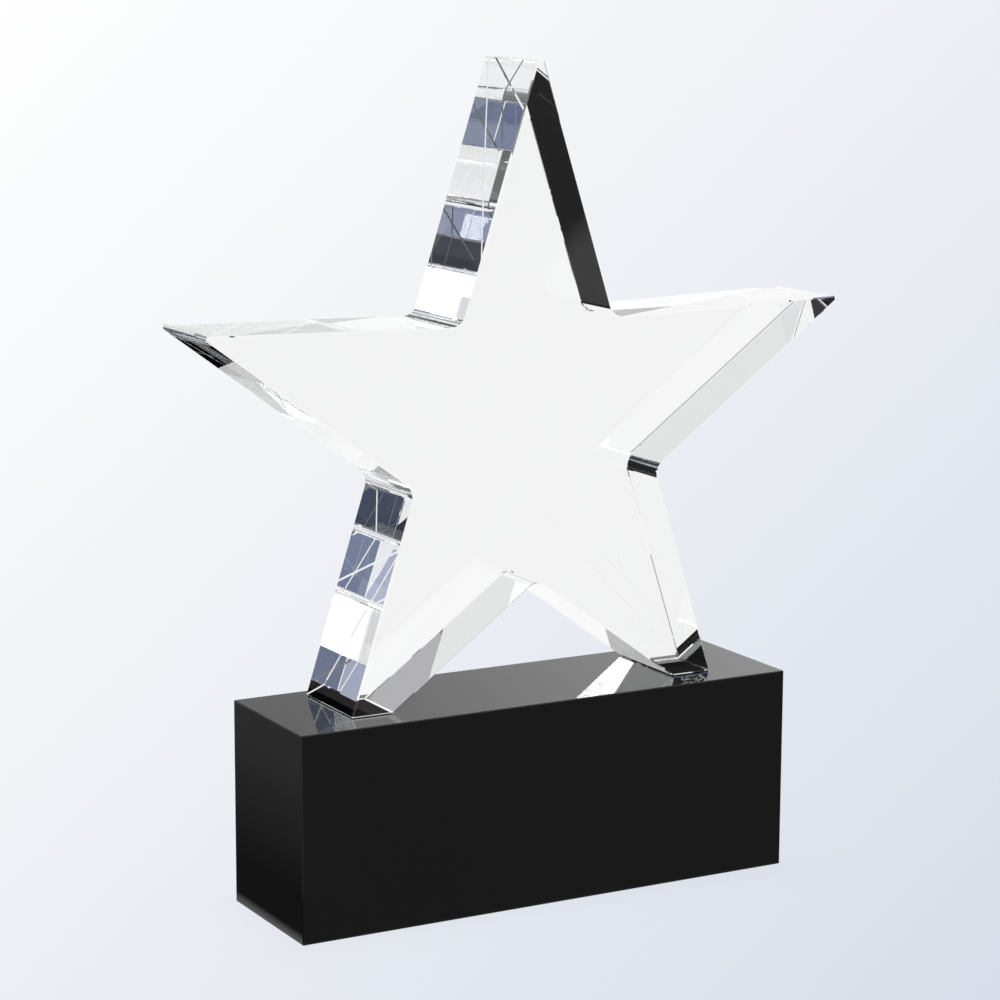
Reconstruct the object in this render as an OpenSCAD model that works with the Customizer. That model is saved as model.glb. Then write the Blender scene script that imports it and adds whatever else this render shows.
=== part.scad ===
// Crystal award: a flat five-pointed star of clear optical crystal whose two lower points are cut
// flat and bonded to a solid block of polished black glass, which rests on four stick-on bumpers.
// Millimetres, +Z up. X runs across the front, +Y to the back. The origin is on the table, under
// the middle of the block.

/* [Black base block] */
// Width across the front
base_w = 159; // [110:1:230]
// Depth from front to back
base_d = 45; // [36:1:90]
// Height of the glass
base_h = 60; // [20:1:100]
// Polished bevel along every edge of the block
base_bevel = 0.8; // [0.3:0.1:2]

/* [Crystal star] */
// Thickness of the crystal plate
star_t = 30; // [16:1:34]
// From the star's centre to its top and side points, before they are blunted
star_r = 109.5; // [90:0.1:125]
// From the star's centre to where the sides of a leg would meet, below its cut-off foot
leg_r = 107.6; // [90:0.1:125]
// From the star's centre to its notches
notch_r = 41.2; // [36:0.1:48]
// Angle from straight up to an upper notch, 36 on a regular star
upper_notch_angle = 36.8; // [34:0.1:38]
// Angle from straight up to a side point, 72 on a regular star
side_point_angle = 71.3; // [70:0.1:74]
// Angle from straight up to a lower notch, 108 on a regular star
lower_notch_angle = 107.1; // [106:0.1:110]
// Height of the star's centre above the block
centre_h = 75; // [56:0.5:78]
// How far the star stands behind the middle of the block
star_setback = 2; // [-1:0.1:3]
// Width of the small flat that blunts the top point, on the front and back faces
top_flat = 1.6; // [0.1:0.1:2]
// Width of the small flat that blunts each side point, on the front and back faces
side_flat = 0.7; // [0.1:0.1:2]
// Polished bevel round the front and back faces and the feet
star_bevel = 0.4; // [0.3:0.1:1.2]
// Radius in every notch, left by the wheel that ground it
notch_round = 4.5; // [1:0.5:10]

/* [Bonds] */
// Thickness of the clear adhesive under each foot
bond_t = 0.2; // [0.1:0.05:0.5]

/* [Bumpers] */
// Diameter of a bumper
bumper_d = 10; // [6:0.5:12]
// Height of a bumper
bumper_h = 1; // [0.8:0.1:3]
// Bevel round a bumper's lower rim
bumper_bevel = 0.3; // [0.1:0.05:0.4]
// From the block's edges to a bumper
bumper_inset = 6; // [3:0.5:8]

/* [Hidden] */

base_top = bumper_h + base_h;
foot_z = base_top + bond_t;
centre_z = base_top + centre_h;
star_front = star_setback - star_t / 2;
star_back = star_setback + star_t / 2;
bumper_x = base_w / 2 - bumper_inset - bumper_d / 2;
bumper_y = base_d / 2 - bumper_inset - bumper_d / 2;

// Angles from straight up to where a leg's sides would meet, and to the notch between the legs
LEG_POINT_ANGLE = 144;
LEG_NOTCH_ANGLE = 180;
// Flats that make up the rounding in a notch
NOTCH_STEPS = 8;

// A place in the star's plane, at a radius and an angle clockwise from straight up: [x, z]
function star_place(r, angle) = [r * sin(angle), centre_z + r * cos(angle)];
// The place where the line from p to q crosses the height z
function at_height(p, q, z) = p + (q - p) * (z - p[1]) / (q[1] - p[1]);
function unit(v) = v / norm(v);
// The place at distance d from p towards q
function towards(p, q, d) = p + d * unit(q - p);
// How far back from a sharp tip both its edges start, for a flat of the given width inside the bevel
function flat_setback(before, tip, after, flat) =
    let (
        u = unit(before - tip),
        v = unit(after - tip),
        sine = norm(u - v) / 2,
        cosine = norm(u + v) / 2,
        bevel_growth = 2 * star_bevel * (1 - sine) / cosine
    )
    (flat + bevel_growth) / (2 * sine);
// The rounding of a notch, from its side towards p to its side towards q. Its middle lies on the
// line that halves the notch, and a and b point from there to its two ends.
function notch_arc(p, notch, q) =
    let (
        u = unit(p - notch),
        v = unit(q - notch),
        sine = norm(u - v) / 2,
        middle = notch + notch_round / sine * unit(u + v),
        reach = notch_round * norm(u + v) / 2 / sine,
        a = unit(notch + reach * u - middle),
        b = unit(notch + reach * v - middle),
        turn = acos(a * b)
    )
    [for (i = [0 : NOTCH_STEPS])
        middle + notch_round
            * (sin(turn * (1 - i / NOTCH_STEPS)) * a + sin(turn * i / NOTCH_STEPS) * b) / sin(turn)];
// A mirror image of a list of places, in reverse order so that the outline goes on round
function mirrored(places) = [for (i = [len(places) - 1 : -1 : 0]) [-places[i][0], places[i][1]]];

top_point = star_place(star_r, 0);
upper_notch = star_place(notch_r, upper_notch_angle);
side_point = star_place(star_r, side_point_angle);
lower_notch = star_place(notch_r, lower_notch_angle);
leg_point = star_place(leg_r, LEG_POINT_ANGLE);
leg_notch = star_place(notch_r, LEG_NOTCH_ANGLE);

foot_outer = at_height(lower_notch, leg_point, foot_z);
foot_inner = at_height(leg_notch, leg_point, foot_z);
side_setback = flat_setback(upper_notch, side_point, lower_notch, side_flat);
top_setback = flat_setback(upper_notch, top_point, [-upper_notch[0], upper_notch[1]], top_flat);

// The right half of the outline, from the top down to the notch between the legs
right_half = concat(
    [towards(top_point, upper_notch, top_setback)],
    notch_arc(top_point, upper_notch, side_point),
    [
        towards(side_point, upper_notch, side_setback),
        towards(side_point, lower_notch, side_setback),
    ],
    notch_arc(side_point, lower_notch, leg_point),
    [
        towards(foot_outer, lower_notch, star_bevel),
        foot_outer - [star_bevel, 0],
        foot_inner + [star_bevel, 0],
        towards(foot_inner, leg_notch, star_bevel),
    ]
);
outline = concat(
    right_half,
    notch_arc(leg_point, leg_notch, [-leg_point[0], leg_point[1]]),
    mirrored(right_half)
);

// The inward normal of the outline's edge from p to q, for an outline that runs clockwise
function inward(p, q) = unit([q[1] - p[1], p[0] - q[0]]);
// The outline with every edge moved inwards by d, its corners mitred
function inset(places, d) = [
    for (i = [0 : len(places) - 1])
        let (
            before = places[(i + len(places) - 1) % len(places)],
            after = places[(i + 1) % len(places)],
            n1 = inward(before, places[i]),
            n2 = inward(places[i], after)
        )
        places[i] + d * (n1 + n2) / (1 + n1 * n2)
];
// The outline as a ring of points at one depth
function ring(places, y) = [for (p = places) [p[0], y, p[1]]];
// The four-sided faces between ring a and ring a + 1, of n points each
function band(a, n) = [
    for (i = [0 : n - 1])
        let (j = (i + 1) % n)
        [a * n + i, (a + 1) * n + i, (a + 1) * n + j, a * n + j]
];

// The fan of triangles that fills a face, from its ring a of n points to the point c at its middle
function front_fan(a, c, n) = [for (i = [0 : n - 1]) [a * n + i, a * n + (i + 1) % n, c]];
function back_fan(a, c, n) = [for (i = [0 : n - 1]) [a * n + (i + 1) % n, a * n + i, c]];

// A plate with the star's outline: its walls are square to its faces, and both faces are bevelled
module crystal_star() {
    n = len(outline);
    inner = inset(outline, star_bevel);
    places = concat(
        ring(inner, star_front),
        ring(outline, star_front + star_bevel),
        ring(outline, star_back - star_bevel),
        ring(inner, star_back),
        [[0, star_front, centre_z], [0, star_back, centre_z]]
    );
    faces = concat(
        front_fan(0, 4 * n, n),
        band(0, n),
        band(1, n),
        band(2, n),
        back_fan(3, 4 * n + 1, n)
    );
    color("aliceblue", 0.35)
        polyhedron(places, faces);
}

// A rectangle of size w by h about the origin, with its corners cut by c
module cut_corner_rectangle(w, h, c) {
    x = w / 2;
    y = h / 2;
    polygon([
        [-x + c, -y], [x - c, -y], [x, -y + c], [x, y - c],
        [x - c, y], [-x + c, y], [-x, y - c], [-x, -y + c]
    ]);
}

// A solid block, with the same bevel along all twelve edges
module base_block() {
    color("black")
        translate([0, 0, bumper_h + base_h / 2])
            intersection() {
                linear_extrude(base_h, center = true)
                    cut_corner_rectangle(base_w, base_d, base_bevel);
                rotate([90, 0, 0])
                    linear_extrude(base_d, center = true)
                        cut_corner_rectangle(base_w, base_h, base_bevel);
                rotate([90, 0, 90])
                    linear_extrude(base_w, center = true)
                        cut_corner_rectangle(base_d, base_h, base_bevel);
            }
}

// The film of adhesive under the right foot: it fills the flat inside the foot's bevels
module foot_bond() {
    length = foot_outer[0] - foot_inner[0] - 2 * star_bevel;
    depth = star_t - 2 * star_bevel;
    translate([foot_inner[0] + star_bevel, star_front + star_bevel, base_top])
        cube([length, depth, bond_t]);
}

module right_foot_bond() {
    color("gainsboro", 0.5)
        foot_bond();
}

module left_foot_bond() {
    color("gainsboro", 0.5)
        mirror([1, 0, 0])
            foot_bond();
}

// A round stick-on bumper, with a bevelled lower rim
module bumper(x, y) {
    color("dimgray")
        translate([x, y, 0])
            rotate_extrude()
                polygon([
                    [0, 0], [bumper_d / 2 - bumper_bevel, 0], [bumper_d / 2, bumper_bevel],
                    [bumper_d / 2, bumper_h], [0, bumper_h]
                ]);
}

module front_left_bumper() {
    bumper(-bumper_x, -bumper_y);
}

module front_right_bumper() {
    bumper(bumper_x, -bumper_y);
}

module back_left_bumper() {
    bumper(-bumper_x, bumper_y);
}

module back_right_bumper() {
    bumper(bumper_x, bumper_y);
}

crystal_star();
base_block();
left_foot_bond();
right_foot_bond();
front_left_bumper();
front_right_bumper();
back_left_bumper();
back_right_bumper();
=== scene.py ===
"""Looks of a crystal award: a clear five-pointed star bonded to a polished black glass block.

Everything is in metres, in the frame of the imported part: +Z up, the front faces -Y. The star is
seen by what it bends and mirrors, so the studio round it matters as much as its own material: a
bright sweep behind, a dark card behind and to the left, and a dim room on the camera's side.
"""

import math

import bpy
import numpy as np
from mathutils import Matrix, Vector


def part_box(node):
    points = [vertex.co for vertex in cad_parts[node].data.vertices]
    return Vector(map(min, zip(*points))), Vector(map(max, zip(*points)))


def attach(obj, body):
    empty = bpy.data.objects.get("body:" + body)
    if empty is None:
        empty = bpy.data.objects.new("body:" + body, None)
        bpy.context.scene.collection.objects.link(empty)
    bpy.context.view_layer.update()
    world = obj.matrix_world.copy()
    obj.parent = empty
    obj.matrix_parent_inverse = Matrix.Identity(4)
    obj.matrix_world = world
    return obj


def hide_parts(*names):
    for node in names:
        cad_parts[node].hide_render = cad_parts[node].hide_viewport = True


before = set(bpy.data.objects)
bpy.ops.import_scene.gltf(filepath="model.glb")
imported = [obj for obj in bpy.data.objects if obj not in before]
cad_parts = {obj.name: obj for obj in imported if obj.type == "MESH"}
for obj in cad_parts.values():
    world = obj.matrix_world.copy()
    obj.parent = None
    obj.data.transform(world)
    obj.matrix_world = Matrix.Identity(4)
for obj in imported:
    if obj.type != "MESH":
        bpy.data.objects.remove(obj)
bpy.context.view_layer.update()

MM = 0.001

# ---------------------------------------------------------------- sizes
star_low, star_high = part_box("crystal_star")
block_low, block_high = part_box("base_block")

STAR_RADIUS = 109.5 * MM        # from the star's centre to its top and side points, before they are blunted
LEG_RADIUS = 107.6 * MM         # from the star's centre to where the sides of a leg would meet
NOTCH_RADIUS = 41.2 * MM
CENTRE_Z = block_high.z + 75.0 * MM
UPPER_NOTCH_ANGLE = math.radians(36.8)
SIDE_POINT_ANGLE = math.radians(71.3)
LOWER_NOTCH_ANGLE = math.radians(107.1)
LEG_POINT_ANGLE = math.radians(144.0)
LEG_NOTCH_ANGLE = math.radians(180.0)
TOP_FLAT = 1.6 * MM             # flat that blunts the top point, on the front face
SIDE_FLAT = 0.7 * MM            # flat that blunts a side point, on the front face
STAR_BEVEL = 0.4 * MM           # polished bevel round both faces and the feet
NOTCH_ROUNDING = 4.5 * MM       # radius that the grinding wheel leaves in a notch
POINT_ROUNDING = 0.08 * MM
ROUNDING_STEPS = 24
BLOCK_BEVEL = 0.3 * MM
BOND_RISE = 0.03 * MM           # how far the wetted face of a bond reads inside the foot
BUMPER_LIP = 0.35 * MM

# ---------------------------------------------------------------- camera
CAMERA_AZIMUTH = math.radians(-29.17)
CAMERA_ELEVATION = math.radians(10.67)
CAMERA_ROLL = math.radians(0.275)
CAMERA_DISTANCE = 0.8654
CAMERA_AIM = Vector((-0.0052, 0.0, 0.1164))
CAMERA_LENS = 108.23
CAMERA_SENSOR = 36.0


def make_camera():
    """The camera stands on a line from the aim point, at the azimuth and elevation above."""
    data = bpy.data.cameras.new("camera")
    data.lens = CAMERA_LENS
    data.sensor_width = CAMERA_SENSOR
    data.clip_start = 0.05
    data.clip_end = 60.0
    camera = bpy.data.objects.new("camera", data)
    bpy.context.scene.collection.objects.link(camera)
    level = math.cos(CAMERA_ELEVATION)
    back = Vector((
        math.sin(CAMERA_AZIMUTH) * level,
        -math.cos(CAMERA_AZIMUTH) * level,
        math.sin(CAMERA_ELEVATION),
    ))
    turn = (-back).to_track_quat("-Z", "Y").to_matrix() @ Matrix.Rotation(CAMERA_ROLL, 3, "Z")
    camera.matrix_world = Matrix.Translation(CAMERA_AIM + back * CAMERA_DISTANCE) @ turn.to_4x4()
    bpy.context.scene.camera = camera
    return turn


# ---------------------------------------------------------------- outlines and meshes
def unit(v):
    return v / np.linalg.norm(v, axis=-1, keepdims=True)


def star_place(radius, angle):
    """A place in the star's plane, at an angle clockwise from straight up: (x, z)."""
    return np.array([radius * math.sin(angle), CENTRE_Z + radius * math.cos(angle)])


def at_height(p, q, z):
    """The place where the line from p to q crosses the height z."""
    return p + (q - p) * (z - p[1]) / (q[1] - p[1])


def blunted(before, tip, after, flat):
    """The two ends of the flat that blunts a sharp tip.

    With u and v the unit vectors from the tip along its edges, half the tip's angle has the sine
    |u - v| / 2 and the cosine |u + v| / 2. The bevel takes 2 bevel (1 - sine) / cosine from the
    flat's width, so the flat is made that much wider, and starts width / (2 sine) from the tip.
    """
    u = unit(before - tip)
    v = unit(after - tip)
    sine = np.linalg.norm(u - v) / 2
    cosine = np.linalg.norm(u + v) / 2
    setback = (flat + 2 * STAR_BEVEL * (1 - sine) / cosine) / (2 * sine)
    return [tip + setback * u, tip + setback * v]


def star_outline():
    """Corners of the star, clockwise from the right end of the top flat, and each one's rounding."""
    mirror = np.array([-1.0, 1.0])
    top = star_place(STAR_RADIUS, 0.0)
    upper_notch = star_place(NOTCH_RADIUS, UPPER_NOTCH_ANGLE)
    side = star_place(STAR_RADIUS, SIDE_POINT_ANGLE)
    lower_notch = star_place(NOTCH_RADIUS, LOWER_NOTCH_ANGLE)
    leg = star_place(LEG_RADIUS, LEG_POINT_ANGLE)
    leg_notch = star_place(NOTCH_RADIUS, LEG_NOTCH_ANGLE)
    foot_outer = at_height(lower_notch, leg, star_low.z)
    foot_inner = at_height(leg_notch, leg, star_low.z)
    level = np.array([STAR_BEVEL, 0.0])
    half = [
        blunted(upper_notch * mirror, top, upper_notch, TOP_FLAT)[1],
        upper_notch,
        *blunted(upper_notch, side, lower_notch, SIDE_FLAT),
        lower_notch,
        foot_outer + STAR_BEVEL * unit(lower_notch - foot_outer),
        foot_outer - level,
        foot_inner + level,
        foot_inner + STAR_BEVEL * unit(leg_notch - foot_inner),
    ]
    notches = [False, True, False, False, True, False, False, False, False]
    corners = np.array(half + [leg_notch] + [p * mirror for p in reversed(half)])
    is_notch = np.array(notches + [True] + notches[::-1])
    return corners, np.where(is_notch, NOTCH_ROUNDING, POINT_ROUNDING)


def inset(corners, distance):
    """The clockwise outline with every edge moved inwards: each corner p moves to
    p + distance (n1 + n2) / (1 + n1.n2), where n1 and n2 are its edges' inward normals."""
    edge = unit(np.roll(corners, -1, axis=0) - corners)
    after = np.stack([edge[:, 1], -edge[:, 0]], axis=1)
    before = np.roll(after, 1, axis=0)
    return corners + distance * (before + after) / (1 + (before * after).sum(axis=1, keepdims=True))


def rounded(corners, radius, steps):
    """The outline with each corner replaced by an arc that touches both its edges.

    The arc is p - s u + r (sin(t) u + (1 - cos(t)) w), where u is the way the outline comes in, w
    is the way it turns, s = r tan(turn / 2) and t runs from 0 to the turn."""
    come = unit(corners - np.roll(corners, 1, axis=0))
    leave = np.roll(come, -1, axis=0)
    cross = come[:, 0] * leave[:, 1] - come[:, 1] * leave[:, 0]
    turn = np.arctan2(np.abs(cross), (come * leave).sum(axis=1))
    side = np.sign(cross)[:, None] * np.stack([-come[:, 1], come[:, 0]], axis=1)
    start = corners - (radius * np.tan(turn / 2))[:, None] * come
    t = turn[:, None] * np.linspace(0.0, 1.0, steps + 1)
    arc = np.sin(t)[..., None] * come[:, None] + (1 - np.cos(t))[..., None] * side[:, None]
    return (start[:, None] + radius[:, None, None] * arc).reshape(-1, 2)


def lofted(name, rings):
    """A closed piece from rings of equal length: quads join each ring to the next, and a fan of
    triangles to the middle of the ring closes each end. Seen from the first ring, the rings run
    clockwise, so all faces look out."""
    rows, around = rings.shape[:2]
    i, j = np.meshgrid(np.arange(rows - 1), np.arange(around), indexing="ij")
    k = (j + 1) % around
    quads = np.stack([i * around + j, i * around + k, (i + 1) * around + k, (i + 1) * around + j], axis=-1)
    here, after, total = j[0], k[0], rows * around
    first_end = np.stack([after, here, np.full(around, total)], axis=1)
    last_end = np.stack([here + total - around, after + total - around, np.full(around, total + 1)], axis=1)
    middles = rings[[0, -1]].mean(axis=1)
    mesh = bpy.data.meshes.new(name)
    mesh.from_pydata(
        np.concatenate([rings.reshape(-1, 3), middles]),
        [],
        quads.reshape(-1, 4).tolist() + first_end.tolist() + last_end.tolist(),
    )
    piece = bpy.data.objects.new(name, mesh)
    bpy.context.scene.collection.objects.link(piece)
    return piece


def make_star():
    """A plate: the outline is carried from the front face to the back one, past a bevel at each."""
    corners, radius = star_outline()
    depth = star_high.y - star_low.y
    rows = [(STAR_BEVEL, 0.0), (0.0, STAR_BEVEL), (0.0, depth - STAR_BEVEL), (STAR_BEVEL, depth)]
    rings = []
    for distance, y in rows:
        ring = rounded(inset(corners, distance), radius, ROUNDING_STEPS)
        rings.append(np.insert(ring, 1, star_low.y + y, axis=1))
    return lofted("star", np.array(rings))


def rectangle(low, high):
    """Corners of an upright rectangle in X and Y, anticlockwise seen from above."""
    return np.array([[low.x, low.y], [high.x, low.y], [high.x, high.y], [low.x, high.y]])


def make_box(name, low, high, bevel, steps):
    """A box with rounded edges: a rounded rectangle is carried from the bottom to the top. At an
    angle t of the rounding it is drawn in by bevel (1 - cos t) and lies bevel (1 - sin t) from the
    bottom or the top."""
    corners = rectangle(low, high)[::-1]
    t = np.linspace(0.0, math.pi / 2, steps + 1)
    drawn_in = bevel * (1 - np.cos(t))
    margin = bevel * (1 - np.sin(t))
    heights = np.concatenate([low.z + margin[::-1], high.z - margin])
    rings = []
    for distance, z in zip(np.concatenate([drawn_in[::-1], drawn_in]), heights):
        radius = np.full(4, max(bevel - distance, 0.02 * bevel))
        ring = rounded(inset(corners, distance), radius, steps)
        rings.append(np.insert(ring, 2, z, axis=1))
    return lofted(name, np.array(rings)[::-1])


def make_bumper(name, low, high):
    """A stick-on bumper: a profile turned about its axis, with a rounded lower lip and a small
    rounding where it meets the block. The profile's places are (radius, height)."""
    lip = BUMPER_LIP
    reach = (high.x - low.x) / 2
    t = np.linspace(0.0, math.pi / 2, 7)
    lower = np.stack([reach - lip + lip * np.sin(t), low.z + lip * (1 - np.cos(t))], axis=1)
    upper = np.array([[reach, high.z - 0.1 * MM], [reach - 0.04 * MM, high.z]])
    profile = np.concatenate([lower, upper])
    angle = np.linspace(0.0, 2 * math.pi, 72, endpoint=False)
    rings = np.stack([
        (low.x + high.x) / 2 + profile[:, :1] * np.cos(angle),
        (low.y + high.y) / 2 + profile[:, :1] * np.sin(angle),
        np.repeat(profile[:, 1:], len(angle), axis=1),
    ], axis=-1)
    return lofted(name, rings)


# ---------------------------------------------------------------- materials
def new_material(name):
    """A material with its own Principled shader, and its tree."""
    material = bpy.data.materials.new(name)
    material.use_nodes = True
    return material, material.node_tree, material.node_tree.nodes["Principled BSDF"]


def group_node(tree, group, **values):
    """Places a shader group in a tree, with its inputs set by name."""
    node = tree.nodes.new("ShaderNodeGroup")
    node.node_tree = group
    for name, value in values.items():
        node.inputs[name.replace("_", " ")].default_value = value
    return node


def calc(tree, operation, a, b=0.0, clamp=False):
    """A Math node. Each value is a number or another node's output."""
    node = tree.nodes.new("ShaderNodeMath")
    node.operation = operation
    node.use_clamp = clamp
    for socket, value in zip(node.inputs, (a, b)):
        if isinstance(value, (int, float)):
            socket.default_value = value
        else:
            tree.links.new(value, socket)
    return node.outputs[0]


def new_group(name, inputs, outputs):
    """A shader group with float inputs and the outputs named, and its own input and output nodes."""
    group = bpy.data.node_groups.new(name, "ShaderNodeTree")
    for label, value in inputs.items():
        socket = group.interface.new_socket(label, in_out="INPUT", socket_type="NodeSocketFloat")
        socket.default_value = value
    for label, kind in outputs.items():
        group.interface.new_socket(label, in_out="OUTPUT", socket_type=kind)
    return group, group.nodes.new("NodeGroupInput"), group.nodes.new("NodeGroupOutput")


def handled_polish_group():
    """Traces of handling on a polished face: wide soft smears and dust specks.
    Smear and Dust are masks, and Height is the faint wave that hand polishing leaves."""
    group, inside, outside = new_group(
        "handled polish",
        {"Smear Scale": 40.0, "Dust Scale": 900.0, "Wave Scale": 60.0},
        {"Smear": "NodeSocketFloat", "Dust": "NodeSocketFloat", "Height": "NodeSocketFloat"},
    )
    place = group.nodes.new("ShaderNodeTexCoord").outputs["Object"]

    smear = group.nodes.new("ShaderNodeTexNoise")
    smear.inputs["Detail"].default_value = 5.0
    smear.inputs["Distortion"].default_value = 1.2
    group.links.new(place, smear.inputs["Vector"])
    group.links.new(inside.outputs["Smear Scale"], smear.inputs["Scale"])
    soft = calc(group, "MULTIPLY_ADD", smear.outputs["Fac"], 3.0, clamp=True)
    soft.node.inputs[2].default_value = -1.35

    dust = group.nodes.new("ShaderNodeTexVoronoi")
    group.links.new(place, dust.inputs["Vector"])
    group.links.new(inside.outputs["Dust Scale"], dust.inputs["Scale"])
    near = calc(group, "LESS_THAN", dust.outputs["Distance"], 0.12)
    rare = calc(group, "GREATER_THAN", calc(group, "MULTIPLY", dust.outputs["Color"], 1.0), 0.8)
    speck = calc(group, "MULTIPLY", near, rare)

    wave = group.nodes.new("ShaderNodeTexNoise")
    wave.inputs["Detail"].default_value = 1.0
    group.links.new(place, wave.inputs["Vector"])
    group.links.new(inside.outputs["Wave Scale"], wave.inputs["Scale"])

    group.links.new(soft, outside.inputs["Smear"])
    group.links.new(speck, outside.inputs["Dust"])
    group.links.new(wave.outputs["Fac"], outside.inputs["Height"])
    return group


def grain_group():
    """Moulded grain: fine pits and a slow change of tone, both as masks."""
    group, inside, outside = new_group(
        "moulded grain",
        {"Grain Scale": 3000.0, "Tone Scale": 250.0},
        {"Tone": "NodeSocketFloat", "Height": "NodeSocketFloat"},
    )
    place = group.nodes.new("ShaderNodeTexCoord").outputs["Object"]
    for label, scale, detail in (("Height", "Grain Scale", 3.0), ("Tone", "Tone Scale", 2.0)):
        noise = group.nodes.new("ShaderNodeTexNoise")
        noise.inputs["Detail"].default_value = detail
        group.links.new(place, noise.inputs["Vector"])
        group.links.new(inside.outputs[scale], noise.inputs["Scale"])
        group.links.new(noise.outputs["Fac"], outside.inputs[label])
    return group


def ramp(tree, factor, low, high):
    """A colour between low and high, by a factor from 0 to 1."""
    node = tree.nodes.new("ShaderNodeMix")
    node.data_type = "RGBA"
    tree.links.new(factor, node.inputs["Factor"])
    node.inputs["A"].default_value = (*low, 1.0)
    node.inputs["B"].default_value = (*high, 1.0)
    return node.outputs["Result"]


def spread(tree, factor, low, high):
    """A value between low and high, by a factor from 0 to 1."""
    node = tree.nodes.new("ShaderNodeMapRange")
    tree.links.new(factor, node.inputs["Value"])
    node.inputs["To Min"].default_value = low
    node.inputs["To Max"].default_value = high
    return node.outputs["Result"]


def raise_surface(tree, shader, height, distance, strength=1.0):
    """Bumps a shader's normal by a height from 0 to 1, whose full range is the distance."""
    bump = tree.nodes.new("ShaderNodeBump")
    bump.inputs["Strength"].default_value = strength
    bump.inputs["Distance"].default_value = distance
    tree.links.new(height, bump.inputs["Height"])
    tree.links.new(bump.outputs["Normal"], shader.inputs["Normal"])


def optical_crystal(polish):
    """Clear crystal: polished to full gloss, with a faint hand-polish wave, faint smears and a slight
    blue depth over a long way through it."""
    material, tree, shader = new_material("optical_crystal")
    marks = group_node(tree, polish, Smear_Scale=28.0, Dust_Scale=1500.0, Wave_Scale=55.0)
    shader.inputs["IOR"].default_value = 1.52
    shader.inputs["Transmission Weight"].default_value = 1.0
    tree.links.new(ramp(tree, marks.outputs["Smear"], (1.0, 1.0, 1.0), (0.992, 0.996, 1.0)),
                   shader.inputs["Base Color"])
    tree.links.new(spread(tree, marks.outputs["Smear"], 0.0, 0.006), shader.inputs["Roughness"])
    raise_surface(tree, shader, marks.outputs["Height"], 4e-6)
    depth = tree.nodes.new("ShaderNodeVolumeAbsorption")
    depth.inputs["Color"].default_value = (0.86, 0.93, 0.97, 1.0)
    depth.inputs["Density"].default_value = 1.0
    tree.links.new(depth.outputs[0], tree.nodes["Material Output"].inputs["Volume"])
    return material


def black_glass(polish):
    """Solid black glass: full gloss, with faint smears that dull it a little and sparse fine dust."""
    material, tree, shader = new_material("black_glass")
    marks = group_node(tree, polish, Smear_Scale=22.0, Dust_Scale=700.0, Wave_Scale=25.0)
    shader.inputs["IOR"].default_value = 1.5
    lifted = calc(tree, "MULTIPLY_ADD", marks.outputs["Smear"], 0.5, clamp=True)
    tree.links.new(marks.outputs["Dust"], lifted.node.inputs[2])
    tree.links.new(ramp(tree, lifted, (0.0035, 0.0035, 0.0037), (0.006, 0.006, 0.006)),
                   shader.inputs["Base Color"])
    tree.links.new(spread(tree, marks.outputs["Smear"], 0.012, 0.035), shader.inputs["Roughness"])
    raise_surface(tree, shader, marks.outputs["Height"], 2e-6)
    return material


def wetted_adhesive(polish):
    """The clear film wets both glasses, so it shows the black of the block under it, with a few
    small paler voids where it has not spread."""
    material, tree, shader = new_material("wetted_adhesive")
    marks = group_node(tree, polish, Smear_Scale=300.0, Dust_Scale=1200.0, Wave_Scale=400.0)
    shader.inputs["Specular IOR Level"].default_value = 0.0
    shader.inputs["Roughness"].default_value = 0.6
    at = place_parts(tree)
    # Placed by position over the film: a pale grey strip along the back of the right bond, and a dark grey-brown patch
    # across the left bond
    pale_back_strip = calc(tree, "MULTIPLY", window(tree, at["X"], 0.0, 1.0, 0.01), window(tree, at["Y"], 0.0115, 1.0, 0.001))
    wetted = ramp(tree, marks.outputs["Dust"], (0.002, 0.002, 0.0022), (0.05, 0.05, 0.055))
    grey_brown_patch = window(tree, at["X"], -0.0526, -0.03, 0.0008)
    wetted = layer(tree, wetted, (0.050, 0.044, 0.042), grey_brown_patch)
    tree.links.new(layer(tree, wetted, (0.55, 0.55, 0.55), pale_back_strip), shader.inputs["Base Color"])
    raise_surface(tree, shader, marks.outputs["Smear"], 2e-5)
    return material


def bumper_rubber(grain):
    """Matt black polyurethane with a moulded grain."""
    material, tree, shader = new_material("bumper_rubber")
    marks = group_node(tree, grain, Grain_Scale=3500.0, Tone_Scale=300.0)
    tree.links.new(ramp(tree, marks.outputs["Tone"], (0.014, 0.014, 0.015), (0.036, 0.036, 0.038)),
                   shader.inputs["Base Color"])
    tree.links.new(spread(tree, marks.outputs["Tone"], 0.55, 0.85), shader.inputs["Roughness"])
    raise_surface(tree, shader, marks.outputs["Height"], 3e-5, 0.6)
    return material


# ---------------------------------------------------------------- studio
BACKDROP_LIGHT = (1.0, 1.0, 1.0)
BACKDROP_SHADE = (0.68, 0.72, 0.81)
ROOM = (0.97, 0.97, 0.97)
DIM = (0.19, 0.19, 0.19)
NAVY = (0.19, 0.22, 0.32)


def window(tree, value, low, high, soft):
    """1 where a value lies between low and high, falling to 0 over the soft margin outside them."""
    rise = calc(tree, "DIVIDE", calc(tree, "SUBTRACT", value, low - soft), soft)
    fall = calc(tree, "DIVIDE", calc(tree, "SUBTRACT", high + soft, value), soft)
    return calc(tree, "MINIMUM", rise, fall, clamp=True)


def layer(tree, below, above, mask):
    """A colour over another one, where the mask is 1. A colour is three numbers or an output."""
    node = tree.nodes.new("ShaderNodeMix")
    node.data_type = "RGBA"
    tree.links.new(mask, node.inputs["Factor"])
    for label, colour in (("A", below), ("B", above)):
        if isinstance(colour, tuple):
            node.inputs[label].default_value = (*colour, 1.0)
        else:
            tree.links.new(colour, node.inputs[label])
    return node.outputs["Result"]


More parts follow.
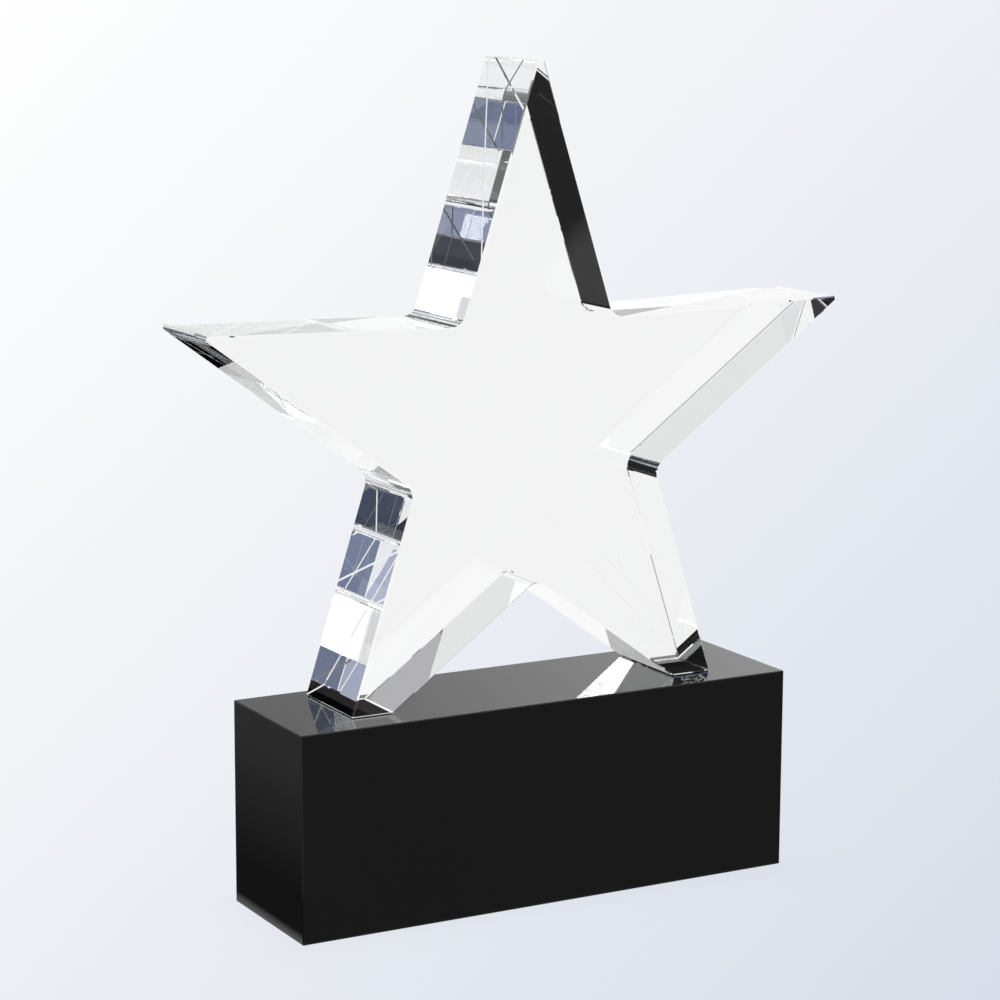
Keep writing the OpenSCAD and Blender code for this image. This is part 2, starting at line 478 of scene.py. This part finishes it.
# What the glass sees of the room: azimuth from straight behind and elevation, in degrees, as
# (from, to, soft margin) each, and the colour there
ROOM_PATCHES = (
    ((-172.0, -138.0, 3.0), (-1.0, 18.0, 2.0), NAVY),
    ((-171.0, -155.0, 2.0), (20.0, 28.5, 1.5), (0.26, 0.32, 0.45)),
    ((-181.0, -173.0, 2.0), (27.0, 31.0, 1.5), (1.25, 1.25, 1.25)),
    ((173.0, 181.0, 2.0), (27.0, 31.0, 1.5), (1.25, 1.25, 1.25)),
    ((10.0, 25.0, 9.0), (12.0, 18.0, 1.5), (0.50, 0.50, 0.505)),
    ((-9.0, 7.0, 2.0), (28.0, 38.0, 0.7), (0.78, 0.785, 0.785)),
    ((-36.5, -13.0, 1.5), (12.5, 33.0, 1.5), (0.03, 0.03, 0.034)),
)


def make_world(turn):
    """A pale room. Straight from the camera it is a plain slanting gradient, and the glass sees
    the room's lighter and darker parts."""
    world = bpy.data.worlds.new("studio")
    world.use_nodes = True
    tree = world.node_tree
    background = tree.nodes["Background"]
    way = tree.nodes.new("ShaderNodeTexCoord").outputs["Generated"]
    part = tree.nodes.new("ShaderNodeSeparateXYZ")
    tree.links.new(way, part.inputs[0])
    azimuth = calc(tree, "DEGREES", 0.0)
    tree.links.new(calc(tree, "ARCTAN2", part.outputs["X"], part.outputs["Y"]), azimuth.node.inputs[0])
    elevation = calc(tree, "DEGREES", 0.0)
    tree.links.new(calc(tree, "ARCSINE", part.outputs["Z"]), elevation.node.inputs[0])

    room = ROOM
    for azimuths, elevations, colour in ROOM_PATCHES:
        mask = calc(tree, "MULTIPLY", window(tree, azimuth, *azimuths), window(tree, elevation, *elevations))
        room = layer(tree, room, colour, mask)

    across = turn @ Vector((1.0, -1.0, 0.0))
    slope = CAMERA_LENS / CAMERA_SENSOR / 2
    dot = tree.nodes.new("ShaderNodeVectorMath")
    dot.operation = "DOT_PRODUCT"
    dot.inputs[1].default_value = across * slope
    tree.links.new(way, dot.inputs[0])
    shade = calc(tree, "ADD", dot.outputs["Value"], 0.5, clamp=True)
    plain = layer(tree, BACKDROP_LIGHT, BACKDROP_SHADE, shade)

    path = tree.nodes.new("ShaderNodeLightPath")
    tree.links.new(layer(tree, room, plain, path.outputs["Is Camera Ray"]), background.inputs["Color"])
    bpy.context.scene.world = world


def stage_card(name, corners, shader_colour):
    """A flat card of the studio, seen only in the glass, that shines with a colour set by nodes."""
    mesh = bpy.data.meshes.new(name)
    mesh.from_pydata(corners, [], [list(range(len(corners)))])
    card = bpy.data.objects.new(name, mesh)
    bpy.context.scene.collection.objects.link(card)
    material = bpy.data.materials.new(name)
    material.use_nodes = True
    tree = material.node_tree
    tree.nodes.clear()
    shine = tree.nodes.new("ShaderNodeEmission")
    out = tree.nodes.new("ShaderNodeOutputMaterial")
    tree.links.new(shader_colour(tree), shine.inputs["Color"])
    tree.links.new(shine.outputs[0], out.inputs["Surface"])
    mesh.materials.append(material)
    return card, tree, shine, out


FLOOR_REACH = 8.0
CONTACT_SHADE = 0.05
CONTACT_REACH = 0.008
CARD_Y = 0.25
STRIP_Y = -0.15
STRIP_TOP = 0.036
SOFT_BOX_Y = -0.60


def place_parts(tree):
    part = tree.nodes.new("ShaderNodeSeparateXYZ")
    tree.links.new(tree.nodes.new("ShaderNodeTexCoord").outputs["Object"], part.inputs[0])
    return part.outputs


def floor_colour(tree):
    """The table as the glass sees it: lit behind the award and before its left half, dim to the
    right, far in front and beside its left end, with one lit spot to the right in front."""
    at = place_parts(tree)
    ahead = window(tree, at["Y"], -9.0, -0.027, 0.006)
    right = window(tree, at["X"], -0.09, 9.0, 0.03)
    spot = calc(tree, "MULTIPLY", window(tree, at["X"], 0.05, 0.14, 0.015), window(tree, at["Y"], -0.26, -0.18, 0.015))
    far = window(tree, at["Y"], -9.0, -0.44, 0.03)
    beside = calc(tree, "MULTIPLY", window(tree, at["X"], -0.30, -0.085, 0.005), window(tree, at["Y"], -0.05, 0.36, 0.01))
    colour = layer(tree, (0.96, 0.96, 0.96), DIM, calc(tree, "MULTIPLY", ahead, right))
    colour = layer(tree, colour, (1.1, 1.1, 1.1), spot)
    colour = layer(tree, colour, DIM, far)
    shaded = layer(tree, (0.17, 0.17, 0.17), (0.04, 0.04, 0.04), window(tree, at["X"], -0.10, 0.0, 0.06))
    return layer(tree, colour, shaded, beside)


def black_card_colour(tree):
    """A black card whose upper rim is a mid grey."""
    at = place_parts(tree)
    rim = calc(tree, "MULTIPLY", window(tree, at["Z"], 0.196, 1.0, 0.004), window(tree, at["X"], -1.0, -0.044, 0.002))
    return layer(tree, (0.0015, 0.0015, 0.002), (0.42, 0.42, 0.43), rim)


def navy_card_colour(tree):
    """A navy card, paler along its top and nearly black along its foot."""
    height = place_parts(tree)["Z"]
    colour = layer(tree, (0.15, 0.18, 0.30), (0.45, 0.48, 0.62), window(tree, height, 0.203, 1.0, 0.008))
    return layer(tree, colour, (0.012, 0.012, 0.016), window(tree, height, 0.0, 0.105, 0.010))


def soft_box_colour(tree):
    """A light box, a little dimmer towards its ends."""
    return layer(tree, (5.5, 5.5, 5.5), (7.0, 7.0, 7.0), window(tree, place_parts(tree)["X"], -0.10, 0.10, 0.04))


def strip_colour(tree):
    """A low strip that keeps the lit spot of the table out of the block's front."""
    return layer(tree, DIM, DIM, window(tree, place_parts(tree)["X"], 0.0, 1.0, 0.1))


def make_floor():
    """A pale table top. It is seen as part of the backdrop, apart from a faint contact shade that
    falls off with the distance d from the block's sides as exp(-d / reach)."""
    r = FLOOR_REACH
    floor, tree, shine, out = stage_card("floor", [(-r, -r, 0), (r, -r, 0), (r, r, 0), (-r, r, 0)], floor_colour)
    at = place_parts(tree)
    gaps = []
    for label, half in (("X", block_high.x), ("Y", block_high.y)):
        gap = calc(tree, "SUBTRACT", calc(tree, "ABSOLUTE", at[label]), half)
        gaps.append(calc(tree, "MULTIPLY", calc(tree, "MAXIMUM", gap, 0.0), 1.0))
    squares = [calc(tree, "MULTIPLY", gap, gap) for gap in gaps]
    distance = calc(tree, "SQRT", calc(tree, "ADD", *squares))
    fade = calc(tree, "EXPONENT", calc(tree, "DIVIDE", distance, -CONTACT_REACH))
    clear = tree.nodes.new("ShaderNodeBsdfTransparent")
    shade = tree.nodes.new("ShaderNodeEmission")
    shade.inputs["Color"].default_value = (0.2, 0.21, 0.23, 1.0)
    seen = tree.nodes.new("ShaderNodeMixShader")
    tree.links.new(calc(tree, "MULTIPLY", fade, CONTACT_SHADE), seen.inputs[0])
    tree.links.new(clear.outputs[0], seen.inputs[1])
    tree.links.new(shade.outputs[0], seen.inputs[2])
    choose = tree.nodes.new("ShaderNodeMixShader")
    path = tree.nodes.new("ShaderNodeLightPath")
    tree.links.new(path.outputs["Is Camera Ray"], choose.inputs[0])
    tree.links.new(shine.outputs[0], choose.inputs[1])
    tree.links.new(seen.outputs[0], choose.inputs[2])
    tree.links.new(choose.outputs[0], out.inputs["Surface"])


def make_card(name, x0, x1, z0, z1, y, shader_colour):
    """An upright card across the view from x0 to x1 and z0 to z1. Only the glass sees it."""
    card = stage_card(name, [(x0, y, z0), (x1, y, z0), (x1, y, z1), (x0, y, z1)], shader_colour)[0]
    card.visible_camera = False


# ---------------------------------------------------------------- the award
def finish_piece(piece, material, slot, *nodes):
    """Gives a piece its material, sets it on the part's body and lets it stand for its CAD nodes."""
    piece.data.materials.append(material)
    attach(piece, "root")
    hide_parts(*nodes)


turn = make_camera()
polish = handled_polish_group()
grain = grain_group()
crystal = optical_crystal(polish)
black = black_glass(polish)
film = wetted_adhesive(polish)
rubber = bumper_rubber(grain)

finish_piece(make_star(), crystal, "clear_crystal", "crystal_star")
finish_piece(make_box("block", block_low, block_high, BLOCK_BEVEL, 4), black, "black_glass", "base_block")
for side in ("left", "right"):
    low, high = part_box(f"{side}_foot_bond")
    bond = make_box(f"{side}_bond", low, high + Vector((0, 0, BOND_RISE)), 0.02 * MM, 2)
    finish_piece(bond, film, "clear_adhesive", f"{side}_foot_bond")
for corner in ("front_left", "front_right", "back_left", "back_right"):
    bumper = make_bumper(f"{corner}_foot", *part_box(f"{corner}_bumper"))
    finish_piece(bumper, rubber, "bumper_rubber", f"{corner}_bumper")

make_world(turn)
make_floor()
make_card("black_card", -0.125, -0.02, 0.0005, 0.217, CARD_Y, black_card_colour)
make_card("navy_card", -0.45, -0.135, 0.045, 0.27, CARD_Y, navy_card_colour)
make_card("soft_box", -0.15, 0.15, 0.470, 0.503, SOFT_BOX_Y, soft_box_colour)
make_card("dim_strip", -0.05, 0.35, 0.0005, STRIP_TOP, STRIP_Y, strip_colour)

scene = bpy.context.scene
scene.view_settings.view_transform = "Standard"
scene.cycles.max_bounces = 32
scene.cycles.glossy_bounces = 32
scene.cycles.transmission_bounces = 32
